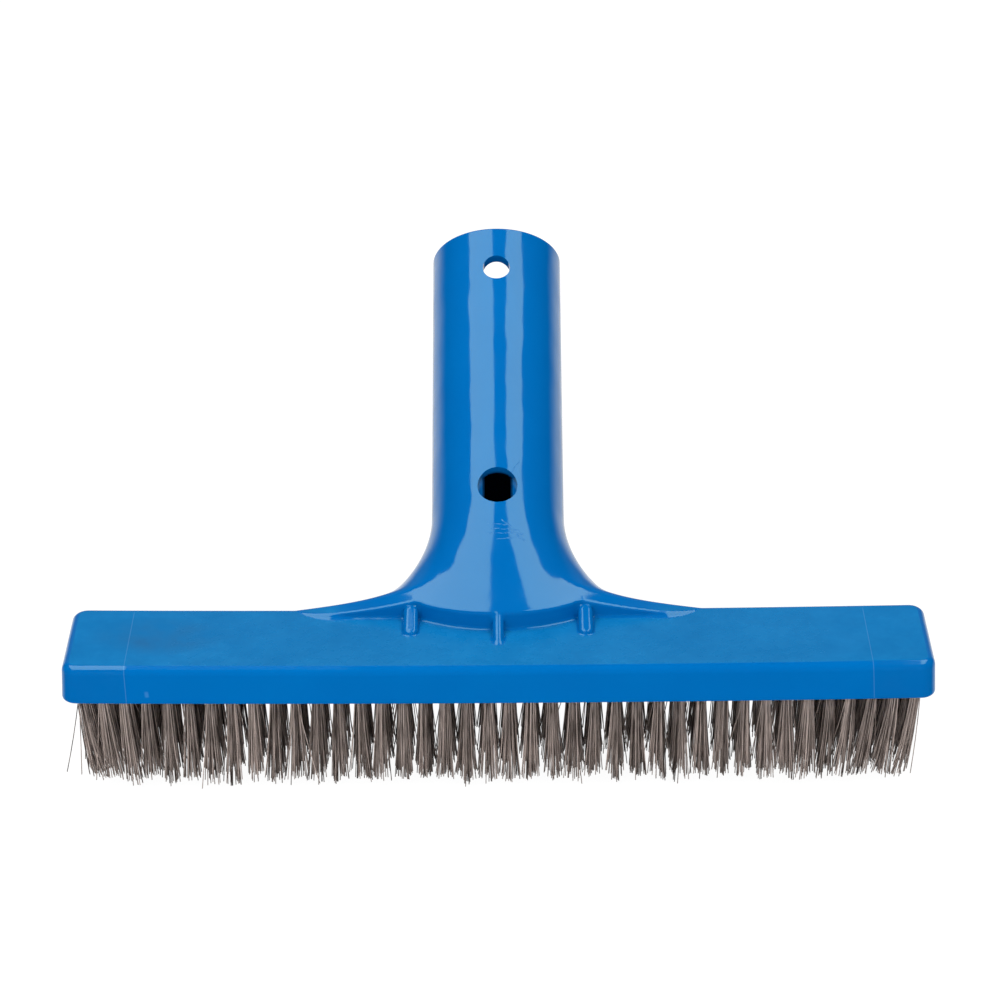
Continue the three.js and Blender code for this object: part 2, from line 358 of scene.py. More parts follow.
def body_surface():
    """The outer skin as points and quads. The grid is finer where edges are round, and the socket runs
    past its rim, which is cut later."""
    xs = spaced([(-HALF_LENGTH - 1.5, 0.55), (-HALF_LENGTH + 7, 2.2), (-68, 0.75), (68, 2.2),
                 (HALF_LENGTH - 7, 0.55), (HALF_LENGTH + 1.5, 1)])
    ys = spaced([(-HALF_DEPTH - 1.5, 0.5), (-HALF_DEPTH + 5, 1.0), (-4, 0.6), (24, 0.9), (146, 1)])
    zs = spaced([(BAR_BOTTOM - 1.5, 0.45), (BAR_TOP + 10, 0.8), (126, 1)])
    grid = np.meshgrid(xs, ys, zs, indexing="ij", sparse=True)
    values = body_distance(*grid)
    far = TUBE_LENGTH + 4.0
    along = (grid[1] - AXIS_BASE[1]) * AXIS[1] + (grid[2] - AXIS_BASE[2]) * AXIS[2]
    values = np.maximum(values, along - far)
    points, quads = surface_net(xs, ys, zs, values)
    along = (points - AXIS_BASE) @ AXIS
    free = along < far - 1.0
    for _ in range(3):
        moved = onto_surface(body_distance, relaxed(points, quads), 2)
        points = np.where(free[:, None], moved, points)
    return points, quads


def shell_points(points):
    """Points bent by the bar's slight upward bow, ready for a mesh."""
    bent = np.array(points, float)
    bent[:, 2] += BOW * (bent[:, 0] / HALF_LENGTH) ** 2
    bent[:, 1] += MIDDLE_Y
    return bent * MM


def new_mesh(name, points, faces):
    """A mesh object from finished points in metres and lists of point numbers."""
    mesh = bpy.data.meshes.new(name)
    mesh.from_pydata(points.tolist(), [], faces)
    mesh.update()
    piece = bpy.data.objects.new(name, mesh)
    bpy.context.scene.collection.objects.link(piece)
    return piece


def mesh_points(mesh):
    flat = np.empty(len(mesh.vertices) * 3)
    mesh.vertices.foreach_get("co", flat)
    return flat.reshape(-1, 3)


# ---- Cutters -----------------------------------------------------------------------------------


def lathe(profile, sides):
    """Points and faces of a turned solid around +Z. The profile is (radius, height) pairs, from the
    axis back to the axis, with the solid on its left."""
    points = [(0.0, 0.0, profile[0][1])]
    faces = []
    rings = profile[1:-1]
    for radius, height in rings:
        for i in range(sides):
            turn = 2.0 * math.pi * i / sides
            points.append((radius * math.cos(turn), radius * math.sin(turn), height))
    points.append((0.0, 0.0, profile[-1][1]))
    last = len(points) - 1
    for i in range(sides):
        after = (i + 1) % sides
        faces.append((0, 1 + after, 1 + i))
        for ring in range(len(rings) - 1):
            low = 1 + ring * sides
            high = low + sides
            faces.append((low + i, low + after, high + after, high + i))
        top = 1 + (len(rings) - 1) * sides
        faces.append((top + i, top + after, last))
    return np.array(points), faces


def socket_placed(points):
    """Points drawn around the socket's own axis, (x, across, along), moved to where the socket is."""
    across = np.array([-1.0, 0.0, 0.0])
    return AXIS_BASE + points @ np.stack([across, NORMAL, AXIS])


def arc(centre, radius, start, end, steps):
    """Points (radius, height) along a round edge, with the angles in degrees."""
    angles = np.radians(np.linspace(start, end, steps))
    return [(centre[0] + radius * math.cos(a), centre[1] + radius * math.sin(a)) for a in angles]


def mouth_and_bore():
    """What is cut from the socket's end: all beyond the rim, with round lips, and the pole's bore."""
    lip = 0.9
    stop = TUBE_LENGTH - POLE_DEPTH
    outside = TUBE_RADIUS + 8.0
    profile = [(0.0, stop), (BORE_RADIUS, stop)]
    profile += arc((BORE_RADIUS + lip, TUBE_LENGTH - lip), lip, 180, 90, 6)
    profile += arc((TUBE_RADIUS - lip, TUBE_LENGTH - lip), lip, 90, 12, 6)
    profile += [(outside, TUBE_LENGTH - lip), (outside, TUBE_LENGTH + 20.0), (0.0, TUBE_LENGTH + 20.0)]
    points, faces = lathe(profile, 144)
    return socket_placed(points), faces


def coring_slot():
    """The narrow slot below the pole stop, as a box with rounded corners along the socket's axis."""
    high = TUBE_LENGTH - POLE_DEPTH + 1.0
    radius = 1.2
    middle = (SLOT_FRONT + SLOT_BACK) / 2.0
    half_depth = (SLOT_FRONT - SLOT_BACK) / 2.0
    outline = []
    for quarter, (sx, sy) in enumerate(((1, 1), (-1, 1), (-1, -1), (1, -1))):
        centre = (sx * (SLOT_HALF - radius), middle + sy * (half_depth - radius))
        outline += arc(centre, radius, 90 * quarter, 90 * quarter + 90, 5)
    count = len(outline)
    points = [(x, y, z) for z in (SLOT_LOW, high) for x, y in outline]
    faces = [tuple(reversed(range(count))), tuple(range(count, 2 * count))]
    for i in range(count):
        after = (i + 1) % count
        faces.append((i, after, count + after, count + i))
    return socket_placed(np.array(points)), faces


def cross_hole(radius, below_rim, bottom):
    """A round hole square to the socket's axis, from outside the front wall down to a level."""
    points, faces = lathe([(0.0, bottom), (radius, bottom), (radius, TUBE_RADIUS + 5.0),
                           (0.0, TUBE_RADIUS + 5.0)], 48)
    turned = np.stack([-points[:, 0], points[:, 2], points[:, 1]], 1)
    turned[:, 2] += TUBE_LENGTH - below_rim
    return socket_placed(turned), faces


def tuft_places():
    """The middle of each tuft at the bar's underside, as (column, row, x, y)."""
    places = []
    for column, corners in enumerate(column_boxes):
        for row in range(ROWS):
            places.append((column, row, corners[:, 0].mean(), (row - (ROWS - 1) / 2.0) * ROW_PITCH))
    return places


def anchor_holes():
    """The blind holes that hold the tufts, each with a small countersink."""
    sink = 0.35
    top = BAR_BOTTOM + HOLE_DEPTH
    hole, hole_faces = lathe([(0.0, BAR_BOTTOM - 1.0), (HOLE_RADIUS + sink, BAR_BOTTOM - 1.0),
                              (HOLE_RADIUS + sink, BAR_BOTTOM), (HOLE_RADIUS, BAR_BOTTOM + sink),
                              (HOLE_RADIUS, top), (0.0, top)], 20)
    points = []
    faces = []
    for _, _, x, y in tuft_places():
        start = len(points) * len(hole)
        points.append(hole + (x, y, 0.0))
        faces += [tuple(start + i for i in face) for face in hole_faces]
    return np.concatenate(points), faces


def cut_away(piece, points, faces):
    """Takes a closed shape, given in drawing millimetres, out of a piece."""
    cutter = new_mesh("cutter", (points + (0.0, MIDDLE_Y, 0.0)) * MM, faces)
    modifier = piece.modifiers.new("cut", "BOOLEAN")
    modifier.operation = "DIFFERENCE"
    modifier.solver = "MANIFOLD"
    modifier.object = cutter
    depsgraph = bpy.context.evaluated_depsgraph_get()
    finished = bpy.data.meshes.new_from_object(piece.evaluated_get(depsgraph))
    before = piece.data
    piece.modifiers.clear()
    piece.data = finished
    bpy.data.meshes.remove(before)
    bpy.data.objects.remove(cutter)


# ---- Moulded body ------------------------------------------------------------------------------


def shade_like_field(mesh, points):
    """Smooth shading whose normals come straight from the distance function on the outer skin, with
    sharp edges where the holes are cut. The points are the mesh's, in drawing millimetres."""
    mesh.shade_smooth()
    mesh.set_sharp_from_angle(angle=math.radians(32.0))
    slope = gradient(body_distance, points)
    slope[:, 0] -= slope[:, 2] * 2.0 * BOW * points[:, 0] / HALF_LENGTH ** 2
    slope /= np.linalg.norm(slope, axis=1, keepdims=True)
    on_skin = np.abs(body_distance(*points.T)) < 0.03
    corner = np.empty(len(mesh.loops), np.int32)
    mesh.loops.foreach_get("vertex_index", corner)
    sizes = np.empty(len(mesh.polygons), np.int32)
    mesh.polygons.foreach_get("loop_total", sizes)
    flat = np.empty(len(mesh.polygons) * 3)
    mesh.polygons.foreach_get("normal", flat)
    face_normal = np.repeat(flat.reshape(-1, 3), sizes, axis=0)
    agrees = (slope[corner] * face_normal).sum(1) > 0.85
    keep = on_skin[corner] & agrees
    mesh.normals_split_custom_set(np.where(keep[:, None], slope[corner], 0.0).tolist())


def moulded_body():
    """The plastic piece: the outer skin, then the bore, the slot, the cross holes and the tufts' holes
    cut out of it, then the bar's slight bow."""
    points, quads = body_surface()
    piece = new_mesh("moulded_body", (points + (0.0, MIDDLE_Y, 0.0)) * MM, quads.tolist())
    cut_away(piece, *mouth_and_bore())
    cut_away(piece, *coring_slot())
    cut_away(piece, *cross_hole(CLIP_HOLE_RADIUS, CLIP_HOLE_BELOW_RIM, -TUBE_RADIUS - 5.0))
    cut_away(piece, *cross_hole(LOWER_HOLE_RADIUS, LOWER_HOLE_BELOW_RIM, TUBE_RADIUS - 4.0))
    cut_away(piece, *anchor_holes())
    drawn = mesh_points(piece.data) / MM - (0.0, MIDDLE_Y, 0.0)
    piece.data.vertices.foreach_set("co", shell_points(drawn).ravel())
    piece.data.update()
    shade_like_field(piece.data, drawn)
    piece.data.materials.clear()
    piece.data.materials.append(blue_plastic())
    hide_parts("brush_body")
    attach(piece, "root")
    return piece


# ---- Wire tufts --------------------------------------------------------------------------------

# WIRES is how many wires each tuft has. LOWEST_TIP is how far below the plane of the tips the longest
# ones may reach.
WIRE_RADIUS = 0.14
WIRE_SIDES = 5
TUFT_RADIUS = 1.4
WIRES = 38
CLUMPS = 9
LOWEST_TIP = -3.0
wire_draws = np.random.default_rng(11)


def end_lean(column):
    """How far the tips of the tufts near each end are pressed towards the middle."""
    from_left = column
    from_right = len(column_names) - 1 - column
    left = 3.8 * math.exp(-(from_left / 2.6) ** 1.6)
    right = 3.6 * math.exp(-((from_right - 0.8) / 2.9) ** 2)
    return left - right


def stray_reach(column, row):
    """How far out the bent wires at the left end of the brush stand, past their tuft."""
    if column == 0 and row == 1:
        return np.array([8.5, 6.0, 4.2])
    if column == 0 and row == 0:
        return np.array([5.0, 3.0])
    return np.zeros(0)


def tuft_paths(column, row, x, y):
    """The centre lines of one tuft's wires, as (wires, stations, 3): from inside the hole, down
    through its mouth and out to loose tips that bunch into a few clumps."""
    draws = wire_draws
    turn = draws.uniform(0.0, 2.0 * math.pi, WIRES)
    reach = (TUFT_RADIUS - WIRE_RADIUS) * np.sqrt(draws.uniform(0.0, 1.0, WIRES))
    root = np.stack([reach * np.cos(turn), reach * np.sin(turn)], 1)
    clump_turn = draws.uniform(0.0, 2.0 * math.pi, CLUMPS)
    clump_reach = draws.uniform(0.8, 3.3, CLUMPS)
    clump = np.stack([clump_reach * np.cos(clump_turn), clump_reach * np.sin(clump_turn)], 1)
    clump_cut = draws.normal(0.0, 0.8, CLUMPS)
    spread = root * draws.uniform(1.8, 2.9)
    nearest = ((spread[:, None] - clump[None]) ** 2).sum(2).argmin(1)
    tip = 0.8 * spread + 0.2 * clump[nearest] + draws.normal(0.0, 0.4, (WIRES, 2))
    tuft_lean = draws.normal(0.0, 0.4, 2)
    tuft_lean[0] += end_lean(column)
    tuft_lean[1] += 0.5 * (row - 2)
    tip += tuft_lean
    stray = draws.uniform(0.0, 1.0, WIRES) < 0.03
    tip += stray[:, None] * draws.normal(0.0, 2.6, (WIRES, 2))
    loose = stray_reach(column, row)
    tip[:len(loose), 0] -= loose
    end = draws.normal(0.0, 0.7, WIRES) + clump_cut[nearest] + draws.normal(0.0, 0.3)
    end = np.maximum(end, LOWEST_TIP)
    wave = draws.normal(0.0, 0.14, (WIRES, 2))
    paths = np.empty((WIRES, 7, 3))
    for station, above in enumerate((5.0, 0.2)):
        paths[:, station, 0] = x + root[:, 0]
        paths[:, station, 1] = y + root[:, 1]
        paths[:, station, 2] = BAR_BOTTOM + above
    for station, t in enumerate((0.2, 0.4, 0.6, 0.8, 1.0)):
        blend = 0.7 * t + 0.3 * t * t
        sway = math.sin(math.pi * t)
        for axis, middle in enumerate((x, y)):
            straight = middle + root[:, axis] * (1.0 - blend) + tip[:, axis] * blend
            paths[:, station + 2, axis] = straight + wave[:, axis] * sway
        paths[:, station + 2, 2] = BAR_BOTTOM * (1.0 - t) + end * t
    return paths


def wire_surface(paths):
    """Points and faces of closed round wires along the given centre lines."""
    wires, stations, _ = paths.shape
    turn = 2.0 * math.pi * np.arange(WIRE_SIDES) / WIRE_SIDES
    ring = WIRE_RADIUS * np.stack([np.cos(turn), np.sin(turn), 0.0 * turn], 1)
    points = (paths[:, :, None, :] + ring).reshape(-1, 3)
    wire, station, side = np.meshgrid(
        np.arange(wires), np.arange(stations - 1), np.arange(WIRE_SIDES), indexing="ij")
    low = (wire * stations + station) * WIRE_SIDES
    after = (side + 1) % WIRE_SIDES
    quads = np.stack([low + side, low + WIRE_SIDES + side, low + WIRE_SIDES + after, low + after], -1)
    first = np.arange(wires)[:, None] * stations * WIRE_SIDES + np.arange(WIRE_SIDES)
    last = first[:, ::-1] + (stations - 1) * WIRE_SIDES
    return points, quads.reshape(-1, 4).tolist(), first.tolist() + last.tolist()


def tuft_column(column, material):
    """One piece: the wires of the tufts, front to back, at one place along the bar. Each wire has a
    tone of its own, which its material reads."""
    places = [place for place in tuft_places() if place[0] == column]
    paths = np.concatenate([tuft_paths(*place) for place in places])
    points, sides, ends = wire_surface(paths)
    piece = new_mesh("wire_" + column_names[column], shell_points(points), sides + ends)
    smooth = np.zeros(len(piece.data.polygons), bool)
    smooth[:len(sides)] = True
    piece.data.polygons.foreach_set("use_smooth", smooth)
    tones = np.repeat(wire_draws.uniform(0.0, 1.0, len(paths)), paths.shape[1] * WIRE_SIDES)
    piece.data.attributes.new("tone", "FLOAT", "POINT").data.foreach_set("value", tones)
    piece.data.materials.append(material)
    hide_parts(column_names[column])
    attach(piece, "root")
    return piece


# ---- Materials ---------------------------------------------------------------------------------


def add_node(tree, kind, inputs=None, **settings):
    """A shader node whose inputs are plain values or other nodes' outputs."""
    node = tree.nodes.new(kind)
    for name, value in settings.items():
        setattr(node, name, value)
    for name, value in (inputs or {}).items():
        if isinstance(value, bpy.types.NodeSocket):
            tree.links.new(value, node.inputs[name])
        else:
            node.inputs[name].default_value = value
    return node


def new_material(name):
    material = bpy.data.materials.new(name)
    material.use_nodes = True
    tree = material.node_tree
    tree.nodes.clear()
    shader = add_node(tree, "ShaderNodeBsdfPrincipled")
    add_node(tree, "ShaderNodeOutputMaterial", {"Surface": shader.outputs["BSDF"]})
    return material, tree, shader


def place_in_mm(tree, stretch=(1.0, 1.0, 1.0)):
    """The shaded point in millimetres, stretched per axis."""
    coordinates = add_node(tree, "ShaderNodeTexCoord")
    scaled = add_node(tree, "ShaderNodeVectorMath", operation="MULTIPLY")
    tree.links.new(coordinates.outputs["Object"], scaled.inputs[0])
    scaled.inputs[1].default_value = [axis / MM for axis in stretch]
    return scaled.outputs["Vector"]


def noise(tree, place, size, detail=2.0):
    """Noise from 0 to 1 whose lumps are about size millimetres across."""
    node = add_node(tree, "ShaderNodeTexNoise", {"Vector": place, "Scale": 1.0 / size, "Detail": detail})
    return node.outputs["Fac"]


def map_range(tree, value, low, high, to_low, to_high, kind="LINEAR"):
    node = add_node(tree, "ShaderNodeMapRange", {
        "Value": value, "From Min": low, "From Max": high, "To Min": to_low, "To Max": to_high,
    }, interpolation_type=kind)
    return node.outputs["Result"]


def calculate(tree, operation, a, b):
    node = add_node(tree, "ShaderNodeMath", operation=operation)
    for place, value in enumerate((a, b)):
        if isinstance(value, bpy.types.NodeSocket):
            tree.links.new(value, node.inputs[place])
        else:
            node.inputs[place].default_value = value
    return node.outputs["Value"]


def absolute(tree, value):
    return calculate(tree, "ABSOLUTE", value, 0.0)


def product(tree, first, *others):
    total = first
    for value in others:
        total = calculate(tree, "MULTIPLY", total, value)
    return total


def mix_colours(tree, share, first, second):
    node = add_node(tree, "ShaderNodeMix", data_type="RGBA")
    for name, value in (("Factor", share), ("A", first), ("B", second)):
        sockets = [s for s in node.inputs if s.name == name and s.enabled]
        if isinstance(value, bpy.types.NodeSocket):
            tree.links.new(value, sockets[-1])
        else:
            sockets[-1].default_value = value
    return [s for s in node.outputs if s.enabled][0]


def bump(tree, height, depth, normal=None):
    """A bumped normal. The height runs from 0 to 1 and the depth is in millimetres."""
    inputs = {"Height": height, "Distance": depth * MM, "Strength": 1.0}
    if normal is not None:
        inputs["Normal"] = normal
    return add_node(tree, "ShaderNodeBump", inputs).outputs["Normal"]


def model_place(tree):
    """The shaded point's x, y and z in the drawing's millimetres, as three separate values."""
    parts = add_node(tree, "ShaderNodeSeparateXYZ", {"Vector": place_in_mm(tree)})
    y = calculate(tree, "SUBTRACT", parts.outputs["Y"], MIDDLE_Y)
    return parts.outputs["X"], y, parts.outputs["Z"]


def socket_place(tree, y, z):
    """How far along the socket's axis a point lies, and how far in front of that axis."""
    dy = calculate(tree, "SUBTRACT", y, AXIS_BASE[1])
    dz = calculate(tree, "SUBTRACT", z, AXIS_BASE[2])
    along = calculate(tree, "ADD", product(tree, dy, AXIS[1]), product(tree, dz, AXIS[2]))
    front = calculate(tree, "ADD", product(tree, dy, NORMAL[1]), product(tree, dz, NORMAL[2]))
    return along, front


def scratch(tree, u, v, start, end, width):
    """1 on a thin line from start to end on the (u, v) plane, in millimetres, and 0 away from it."""
    run_u = end[0] - start[0]
    run_v = end[1] - start[1]
    length = math.hypot(run_u, run_v)
    du = calculate(tree, "SUBTRACT", u, (start[0] + end[0]) / 2.0)
    dv = calculate(tree, "SUBTRACT", v, (start[1] + end[1]) / 2.0)
    cos = run_u / length
    sin = run_v / length
    along = calculate(tree, "ADD", product(tree, du, cos), product(tree, dv, sin))
    aside = calculate(tree, "SUBTRACT", product(tree, dv, cos), product(tree, du, sin))
    half = length / 2.0
    inside = map_range(tree, absolute(tree, along), half, half - 0.6, 0.0, 1.0)
    near = map_range(tree, absolute(tree, aside), width, 0.3 * width, 0.0, 1.0)
    return product(tree, inside, near)


def patch(tree, u, v, middle, half_u, half_v):
    """1 in the middle of a soft oval patch on the (u, v) plane, falling to 0 at its edge."""
    du = calculate(tree, "DIVIDE", calculate(tree, "SUBTRACT", u, middle[0]), half_u)
    dv = calculate(tree, "DIVIDE", calculate(tree, "SUBTRACT", v, middle[1]), half_v)
    square = calculate(tree, "ADD", product(tree, du, du), product(tree, dv, dv))
    return map_range(tree, square, 1.0, 0.0, 0.0, 1.0, "SMOOTHSTEP")


def strongest(tree, shares):
    total = shares[0]
    for share in shares[1:]:
        total = calculate(tree, "MAXIMUM", total, share)
    return total


def upward(tree):
    """How far the surface faces up, from -1 to 1."""
    normal = add_node(tree, "ShaderNodeNewGeometry").outputs["Normal"]
    return add_node(tree, "ShaderNodeSeparateXYZ", {"Vector": normal}).outputs["Z"]


def bar_top_share(tree, z):
    """1 on the flat top of the bar and 0 elsewhere: where the paler painted sheen goes."""
    flat = map_range(tree, upward(tree), 0.975, 0.995, 0.0, 1.0, "SMOOTHSTEP")
    low = map_range(tree, z, BAR_TOP + 2.6, BAR_TOP + 1.6, 0.0, 1.0)
    high = map_range(tree, z, BAR_TOP - 0.6, BAR_TOP - 0.2, 0.0, 1.0)
    return product(tree, flat, low, high)


RUBBED_BLUE = (0.10, 0.30, 0.62, 1.0)


def plastic_colour(tree, x, y, z, along, front):
    """Blue, with a paler, mottled painted sheen on the bar's flat top, a stain, mould lines, a scuff on
    the front and painted shade in the slot too deep for light: its walls are coloured near black."""
    place = place_in_mm(tree)
    blend = map_range(tree, noise(tree, place, 22.0, 4.0), 0.3, 0.7, 0.0, 1.0)
    colour = mix_colours(tree, blend, (0.0, 0.138, 0.455, 1.0), (0.0, 0.148, 0.475, 1.0))
    cloud = map_range(tree, noise(tree, place, 11.0, 4.0), 0.3, 0.7, 0.0, 1.0)
    # Painted sheen: the bar's flat top is coloured a paler, mottled blue in place of its satin
    # reflection.
    mottled_top_sheen = mix_colours(tree, cloud, (0.0, 0.172, 0.46, 1.0), (0.004, 0.205, 0.52, 1.0))
    speckle = map_range(tree, noise(tree, place, 2.2, 3.0), 0.35, 0.75, 0.0, 0.35)
    mottled_top_sheen = mix_colours(tree, speckle, mottled_top_sheen, (0.0, 0.155, 0.44, 1.0))
    colour = mix_colours(tree, bar_top_share(tree, z), colour, mottled_top_sheen)
    stain = product(tree, patch(tree, x, y, (-100.0, 1.0), 22.0, 13.0), cloud, 0.9)
    colour = mix_colours(tree, stain, colour, (0.012, 0.130, 0.335, 1.0))
    level = calculate(tree, "SUBTRACT", z, BAR_TOP)
    lines = []
    for side, lean in ((-1.0, 0.4), (1.0, -0.7)):
        top = (side * WITNESS_LINE, 1.5)
        foot = (side * (WITNESS_LINE - lean), -BAR_HEIGHT)
        lines.append(scratch(tree, x, level, top, foot, 0.2))
    lines.append(scratch(tree, x, level, (-102.0, -6.6), (-101.7, -9.0), 0.8))
    on_bar = map_range(tree, y, BACK - 2.0, BACK - 4.0, 0.0, 1.0)
    mark = product(tree, strongest(tree, lines), on_bar, 0.32)
    colour = mix_colours(tree, mark, colour, RUBBED_BLUE)
    # Painted shade: inside the slot below the pole stop, the walls are coloured near black.
    inside = map_range(tree, front, TUBE_RADIUS - 2.4, TUBE_RADIUS - 4.4, 0.0, 1.0)
    off_back = map_range(tree, front, SLOT_BACK - 1.0, SLOT_BACK - 0.5, 0.0, 1.0)
    stop = TUBE_LENGTH - POLE_DEPTH
    below_pole = map_range(tree, along, stop + 0.5, stop - 0.5, 0.0, 1.0)
    above_slot = map_range(tree, along, SLOT_LOW - 1.0, SLOT_LOW, 0.0, 1.0)
    narrow = map_range(tree, absolute(tree, x), SLOT_HALF + 0.4, SLOT_HALF + 0.1, 0.0, 1.0)
    slot_shade = product(tree, inside, off_back, narrow, below_pole, above_slot)
    return mix_colours(tree, slot_shade, colour, (0.0, 0.002, 0.006, 1.0))


def neck_scratches(tree, x, along, front):
    """1 on the fine scratches around the lower hole and below it on the front of the neck."""
    place = place_in_mm(tree)
    wander = product(tree, calculate(tree, "SUBTRACT", noise(tree, place, 5.0), 0.5), 2.4)
    v = calculate(tree, "ADD", along, wander)
    lines = [((-4.6, 26.2), (7.6, 25.6)), ((-3.4, 29.4), (4.0, 28.6)), ((1.0, 30.6), (4.6, 27.6)),
             ((3.0, 27.2), (8.4, 23.4)), ((-2.0, 27.6), (6.6, 27.0)), ((5.4, 26.8), (8.2, 26.0)),
             ((-0.5, 24.0), (7.0, 24.6)), ((4.0, 46.8), (6.9, 51.1))]
    marks = strongest(tree, [scratch(tree, x, v, start, end, 0.2) for start, end in lines])
    broken = map_range(tree, noise(tree, place, 0.9, 2.0), 0.40, 0.55, 0.0, 1.0)
    facing = map_range(tree, front, TUBE_RADIUS - 3.0, TUBE_RADIUS - 2.0, 0.0, 1.0)
    return product(tree, marks, broken, facing)


def blue_plastic():
    """Glossy moulded plastic. The bar's top is rubbed to satin between the two mould lines, and its
    front edge is dull there. Broad waves and fine peel in the surface break up the reflections."""
    material, tree, shader = new_material("blue_plastic")
    place = place_in_mm(tree)
    x, y, z = model_place(tree)
    along, front = socket_place(tree, y, z)
    colour = plastic_colour(tree, x, y, z, along, front)
    marks = neck_scratches(tree, x, along, front)
    colour = mix_colours(tree, product(tree, marks, 0.4), colour, RUBBED_BLUE)
    waves = noise(tree, place, 14.0, 1.0)
    peel = noise(tree, place, 1.2, 2.0)
    normal = bump(tree, waves, 0.35)
    normal = bump(tree, peel, 0.004, normal)
    normal = bump(tree, calculate(tree, "SUBTRACT", 1.0, marks), 0.05, normal)
    gloss = map_range(tree, noise(tree, place, 6.0, 3.0), 0.3, 0.7, 0.07, 0.12)
    edge = map_range(tree, upward(tree), 0.98, 0.9, 0.28, 0.5)
    mottle = map_range(tree, noise(tree, place, 4.0, 4.0), 0.3, 0.7, -0.04, 0.04)
    satin = calculate(tree, "ADD", edge, mottle)
    between_blocks = map_range(tree, absolute(tree, x), WITNESS_LINE, WITNESS_LINE - 1.0, 0.0, 1.0)
    on_bar = map_range(tree, z, BAR_TOP + 0.9, BAR_TOP + 0.4, 0.0, 1.0)
    facing_up = map_range(tree, upward(tree), 0.93, 0.985, 0.0, 1.0)
    satin_share = product(tree, between_blocks, on_bar, facing_up)
    round_edge = map_range(tree, upward(tree), 0.992, 0.97, 0.0, 1.0)
    front_edge = map_range(tree, y, FRONT + 3.0, FRONT + 2.0, 0.0, 1.0)
    dull = product(tree, between_blocks, front_edge, round_edge)
    specular = map_range(tree, dull, 0.0, 1.0, 0.5, 0.04)
    tree.links.new(specular, shader.inputs["Specular IOR Level"])
    rough = add_node(tree, "ShaderNodeMix", data_type="FLOAT")
    tree.links.new(satin_share, rough.inputs[0])
    tree.links.new(gloss, rough.inputs[2])
    tree.links.new(satin, rough.inputs[3])
    tree.links.new(colour, shader.inputs["Base Color"])
    tree.links.new(normal, shader.inputs["Normal"])
    tree.links.new(rough.outputs[0], shader.inputs["Roughness"])
    shader.inputs["Specular Tint"].default_value = (0.6, 1.0, 0.7, 1.0)
    shader.inputs["IOR"].default_value = 1.6
    return material


def stainless_wire():
    """Half dull wire, from dark to pale brownish grey by each wire's own tone, with patches of grime."""
    material, tree, shader = new_material("stainless_wire")
    drawn_out = place_in_mm(tree, (1.0, 1.0, 0.2))
    grime = map_range(tree, noise(tree, drawn_out, 1.2, 3.0), 0.3, 0.7, -0.25, 0.25)
    tone = add_node(tree, "ShaderNodeAttribute", attribute_name="tone").outputs["Fac"]
    share = calculate(tree, "ADD", tone, grime)
    colour = mix_colours(tree, share, (0.05, 0.037, 0.032, 1.0), (0.70, 0.58, 0.525, 1.0))
    rough = map_range(tree, noise(tree, place_in_mm(tree), 0.5, 2.0), 0.3, 0.7, 0.3, 0.5)
    tree.links.new(colour, shader.inputs["Base Color"])
    tree.links.new(rough, shader.inputs["Roughness"])
    shader.inputs["Metallic"].default_value = 0.35
    return material


def pale_floor():
    """A pale floor that the camera sees as nearly white, while it lights the object like matt card."""
    material, tree, shader = new_material("pale_floor")
    grain = map_range(tree, noise(tree, place_in_mm(tree), 40.0, 3.0), 0.3, 0.7, 0.0, 1.0)
    colour = mix_colours(tree, grain, (0.80, 0.80, 0.80, 1.0), (0.83, 0.83, 0.83, 1.0))
    tree.links.new(colour, shader.inputs["Base Color"])
    shader.inputs["Roughness"].default_value = 0.8
    shader.inputs["Specular IOR Level"].default_value = 0.0
    glow = add_node(tree, "ShaderNodeEmission", {"Color": (1.0, 1.0, 1.0, 1.0), "Strength": 1.12})
    seen = add_node(tree, "ShaderNodeLightPath").outputs["Is Camera Ray"]
    share = product(tree, seen, 0.85)
    mixed = add_node(tree, "ShaderNodeMixShader", {"Fac": share})
    tree.links.new(shader.outputs["BSDF"], mixed.inputs[1])
    tree.links.new(glow.outputs["Emission"], mixed.inputs[2])
    output = next(node for node in tree.nodes if node.type == "OUTPUT_MATERIAL")
    tree.links.new(mixed.outputs["Shader"], output.inputs["Surface"])
    return material


# ---- Floor, light and camera -------------------------------------------------------------------


def add_front_fill():
    """A large dim panel in front, which lights the bar's front face but isn't seen in reflections."""
    light = bpy.data.lights.new("front_fill", "AREA")
    light.shape = "RECTANGLE"
    light.size = 1.6
    light.size_y = 0.9
    light.energy = 8.5
    panel = bpy.data.objects.new("front_fill", light)
    panel.location = (-0.15, -1.3, 0.45)
    panel.rotation_euler = (math.radians(72.0), 0.0, 0.0)
    panel.visible_glossy = False
    bpy.context.scene.collection.objects.link(panel)


def add_wire_key(pieces):
    """A small lamp high on the left that lights only the wires, so that each has a bright side."""
    lit = bpy.data.collections.new("wires")
    for piece in pieces:
        lit.objects.link(piece)
    light = bpy.data.lights.new("wire_key", "AREA")
    light.size = 0.12
    light.energy = 3.8
    lamp = bpy.data.objects.new("wire_key", light)
    lamp.location = (-0.75, -0.8, 0.35)
    aim = Vector((0.0, MIDDLE_Y * MM, 0.02)) - lamp.location
    lamp.rotation_euler = aim.to_track_quat("-Z", "Y").to_euler()
    lamp.light_linking.receiver_collection = lit
    bpy.context.scene.collection.objects.link(lamp)


def add_floor():
    """A wide plain floor just under the longest wires, kept apart from the object's pieces."""
    reach = 4.0
    level = (LOWEST_TIP - 0.2) * MM
    corners = ((-1, -1), (1, -1), (1, 1), (-1, 1))
    points = np.array([(sx * reach, sy * reach, level) for sx, sy in corners])
    floor = new_mesh("floor", points, [(0, 1, 2, 3)])
    floor.data.materials.append(pale_floor())
    floor.visible_glossy = False


